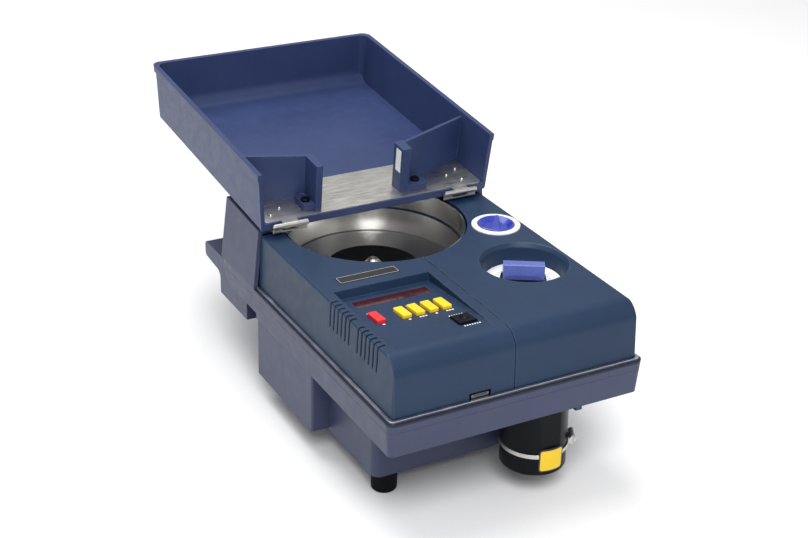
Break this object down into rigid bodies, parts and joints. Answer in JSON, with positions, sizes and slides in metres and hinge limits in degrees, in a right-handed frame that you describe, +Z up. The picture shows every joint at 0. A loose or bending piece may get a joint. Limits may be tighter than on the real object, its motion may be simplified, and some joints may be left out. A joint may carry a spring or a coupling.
{
  "type": "coin sorting machine",
  "caption": "Desktop coin counter with a hinged feed hopper, a spinning feed disc in a steel bowl, a keypad, two setting knobs and a bottom coin outlet.",
  "frame": {"origin": "middle of the bounding box's underside, on the table between the feet, with the hopper resting on the housing", "axes": "+X towards the operator's right, +Y from the control panel back to the hopper, +Z up"},
  "size_m": [0.242, 0.5098, 0.2468],
  "materials": {
    "housing": "satin moulded plastic, blue-grey",
    "cover": "fine-textured moulded plastic, dark blue",
    "hopper": "satin moulded plastic, blue",
    "trim": "satin strip",
    "window": "clear dark red, polished",
    "badge": "blank dark plate with a bright border",
    "steel": "brushed",
    "zinc": "zinc-plated",
    "rubber": "matt black",
    "black_plastic": "satin black",
    "knob": "blue, polished",
    "white": "white",
    "yellow": "yellow",
    "red": "red",
    "board": "green circuit laminate",
    "brass": "plain",
    "label": "blank yellow label"
  },
  "bodies": {
    "base": {"base_housing": "housing", "bearing_housing": "zinc", "bowl_ring": "steel", "brake_solenoid": "zinc", "chassis_plate": "zinc", "clamp_band": "steel", "clamp_screw": "zinc", "coin_sensor": "black_plastic", "coin_track": "steel", "control_board": "board", "control_cover": "cover", "diameter_scale": "white", "disc_bearings": "steel", "display_module": "black_plastic", "display_window": "window", "drive_belt": "rubber", "drive_motor": "zinc", "feet": "rubber", "foot_screws": "zinc", "fuse_holder": "black_plastic", "hinge_brackets": "steel", "hinge_pins": "steel", "hopper_buffers": "rubber", "mains_inlet": "black_plastic", "mechanism_cover": "cover", "motor_bracket": "zinc", "name_badge": "badge", "outlet_chute": "black_plastic", "outlet_collar": "black_plastic", "power_supply": "zinc", "rear_housing": "housing", "thickness_scale": "white", "trim_strip": "trim"},
    "hopper": {"hopper_tray": "hopper", "hopper_plate": "steel", "hopper_screws": "zinc", "plate_rivets": "steel", "hinge_leaves": "steel"},
    "disc": {"coin_disc": "steel", "disc_pad": "rubber", "disc_nut": "steel", "disc_shaft": "steel", "disc_pulley": "black_plastic"},
    "motor_rotor": {"motor_shaft": "steel", "motor_pulley": "brass"},
    "diameter_setting": {"diameter_knob": "knob", "knob_hub": "black_plastic", "knob_shaft": "zinc"},
    "guide_rail": {"diameter_rail": "steel"},
    "thickness_setting": {"thickness_dial": "knob"},
    "gate": {"thickness_gate": "steel"},
    "latch": {"latch_slider": "zinc"},
    "switch": {"power_switch": "black_plastic"},
    "reset_button_body": {"reset_button": "red"},
    "mode_key_1_body": {"mode_key_1": "yellow"},
    "mode_key_2_body": {"mode_key_2": "yellow"},
    "mode_key_3_body": {"mode_key_3": "yellow"},
    "mode_key_4_body": {"mode_key_4": "yellow"},
    "start_stop_key_body": {"start_stop_key": "black_plastic"}
  },
  "joints": [
    {"name": "hopper_tilt", "type": "hinge", "parent": "base", "child": "hopper", "pos_m": [0, -0.00526, 0.17371], "axis": [1, 0, 0], "range_deg": [0, 55]},
    {"name": "disc_spin", "type": "hinge", "parent": "base", "child": "disc", "pos_m": [-0.008, -0.01001, 0.1], "axis": [0, 0, 1], "continuous": true},
    {"name": "motor_spin", "type": "hinge", "parent": "base", "child": "motor_rotor", "pos_m": [0.052, -0.09001, 0.07], "axis": [0, 0, 1], "continuous": true},
    {"name": "diameter_turn", "type": "hinge", "parent": "base", "child": "diameter_setting", "pos_m": [0.0706, -0.14081, 0.14], "axis": [0, 0, 1], "range_deg": [-75, 75]},
    {"name": "guide_rail_shift", "type": "slide", "parent": "base", "child": "guide_rail", "axis": [1, 0, 0], "range_m": [-0.00196, 0.00196]},
    {"name": "thickness_turn", "type": "hinge", "parent": "base", "child": "thickness_setting", "pos_m": [0.0882, -0.06501, 0.15], "axis": [0, 0, 1], "range_deg": [-120, 120]},
    {"name": "gate_lift", "type": "slide", "parent": "base", "child": "gate", "axis": [0, 0, 1], "range_m": [-0.00126, 0.00126]},
    {"name": "latch_press", "type": "slide", "parent": "base", "child": "latch", "axis": [0, 1, 0], "range_m": [0, 0.0025], "stiffness_N_per_m": 300, "springref_m": -0.001},
    {"name": "power_rock", "type": "hinge", "parent": "base", "child": "switch", "pos_m": [0.027, 0.09499, 0.076], "axis": [1, 0, 0], "range_deg": [-12, 0]},
    {"name": "reset_button_press", "type": "slide", "parent": "base", "child": "reset_button_body", "axis": [0, -0.0792, -0.9969], "range_m": [0, 0.0015], "stiffness_N_per_m": 300, "springref_m": -0.001},
    {"name": "mode_key_1_press", "type": "slide", "parent": "base", "child": "mode_key_1_body", "axis": [0, -0.0792, -0.9969], "range_m": [0, 0.0015], "stiffness_N_per_m": 300, "springref_m": -0.001},
    {"name": "mode_key_2_press", "type": "slide", "parent": "base", "child": "mode_key_2_body", "axis": [0, -0.0792, -0.9969], "range_m": [0, 0.0015], "stiffness_N_per_m": 300, "springref_m": -0.001},
    {"name": "mode_key_3_press", "type": "slide", "parent": "base", "child": "mode_key_3_body", "axis": [0, -0.0792, -0.9969], "range_m": [0, 0.0015], "stiffness_N_per_m": 300, "springref_m": -0.001},
    {"name": "mode_key_4_press", "type": "slide", "parent": "base", "child": "mode_key_4_body", "axis": [0, -0.0792, -0.9969], "range_m": [0, 0.0015], "stiffness_N_per_m": 300, "springref_m": -0.001},
    {"name": "start_stop_key_press", "type": "slide", "parent": "base", "child": "start_stop_key_body", "axis": [0, -0.0792, -0.9969], "range_m": [0, 0.0015], "stiffness_N_per_m": 300, "springref_m": -0.001}
  ],
  "couplings": [
    {"joint": "motor_spin", "follows": "disc_spin", "ratio": 4},
    {"joint": "diameter_turn", "follows": "guide_rail_shift", "rad_per_m": 666.67},
    {"joint": "thickness_turn", "follows": "gate_lift", "rad_per_m": 1666.7}
  ]
}
